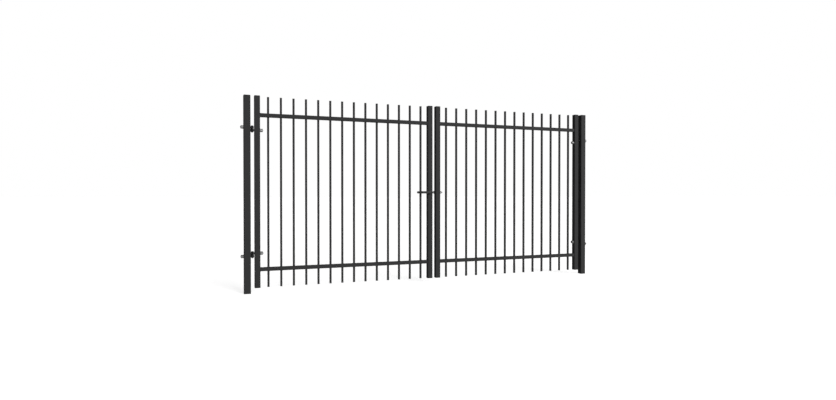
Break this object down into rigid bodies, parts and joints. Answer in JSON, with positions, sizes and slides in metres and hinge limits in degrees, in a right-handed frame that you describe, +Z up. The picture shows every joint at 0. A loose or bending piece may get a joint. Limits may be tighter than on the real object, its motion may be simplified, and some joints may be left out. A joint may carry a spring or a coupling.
{
  "type": "driveway gate",
  "caption": "Double swing driveway gate of square steel tube with vertical bars, two square posts, eye-bolt hinges and a lever latch.",
  "frame": {"origin": "middle of the left post's foot, at ground level", "axes": "+X along the gate to the right post, -Y the front with the visible lever, +Z up"},
  "size_m": [3.776, 0.14, 1.8],
  "materials": {
    "powder_coat": "matt anthracite powder coat",
    "black_plastic": "moulded, fine grain",
    "zinc_steel": "zinc plated, dull",
    "stainless_steel": "satin",
    "black_metal": "satin black coat"
  },
  "bodies": {
    "posts": {"left_post": "powder_coat", "left_post_cap": "black_plastic", "left_post_nuts": "zinc_steel", "left_upper_post_eye": "zinc_steel", "left_upper_pin": "zinc_steel", "left_lower_post_eye": "zinc_steel", "left_lower_pin": "zinc_steel", "right_post": "powder_coat", "right_post_cap": "black_plastic", "right_post_nuts": "zinc_steel", "right_upper_post_eye": "zinc_steel", "right_upper_pin": "zinc_steel", "right_lower_post_eye": "zinc_steel", "right_lower_pin": "zinc_steel"},
    "left_leaf": {"left_hinge_stile": "powder_coat", "left_meeting_stile": "powder_coat", "left_top_rail": "powder_coat", "left_bottom_rail": "powder_coat", "left_bars": "powder_coat", "left_end_plates": "powder_coat", "left_stile_caps": "black_plastic", "left_leaf_nuts": "zinc_steel", "left_upper_leaf_eye": "zinc_steel", "left_lower_leaf_eye": "zinc_steel", "latch_case": "stainless_steel", "front_rose": "black_metal", "back_rose": "black_metal"},
    "right_leaf": {"right_hinge_stile": "powder_coat", "right_meeting_stile": "powder_coat", "right_top_rail": "powder_coat", "right_bottom_rail": "powder_coat", "right_bars": "powder_coat", "right_end_plates": "powder_coat", "right_stile_caps": "black_plastic", "right_leaf_nuts": "zinc_steel", "right_upper_leaf_eye": "zinc_steel", "right_lower_leaf_eye": "zinc_steel", "keep": "zinc_steel", "keep_nut": "zinc_steel"},
    "handle": {"spindle": "stainless_steel", "front_lever": "black_metal", "back_lever": "black_metal"},
    "latch": {"latch_bolt": "stainless_steel"}
  },
  "joints": [
    {"name": "left_swing", "type": "hinge", "parent": "posts", "child": "left_leaf", "pos_m": [0.047, 0.014, 0.3], "axis": [0, 0, 1], "range_deg": [0, 90]},
    {"name": "right_swing", "type": "hinge", "parent": "posts", "child": "right_leaf", "pos_m": [3.613, 0.014, 0.3], "axis": [0, 0, -1], "range_deg": [0, 90]},
    {"name": "lever_turn", "type": "hinge", "parent": "left_leaf", "child": "handle", "pos_m": [1.787, 0, 0.921], "axis": [0, -1, 0], "range_deg": [0, 40], "stiffness_Nm_per_rad": 1.2, "springref_deg": -28.65},
    {"name": "bolt_slide", "type": "slide", "parent": "left_leaf", "child": "latch", "axis": [-1, 0, 0], "range_m": [0, 0.0125]}
  ],
  "couplings": [
    {"joint": "bolt_slide", "follows": "lever_turn", "m_per_rad": 0.0172}
  ]
}
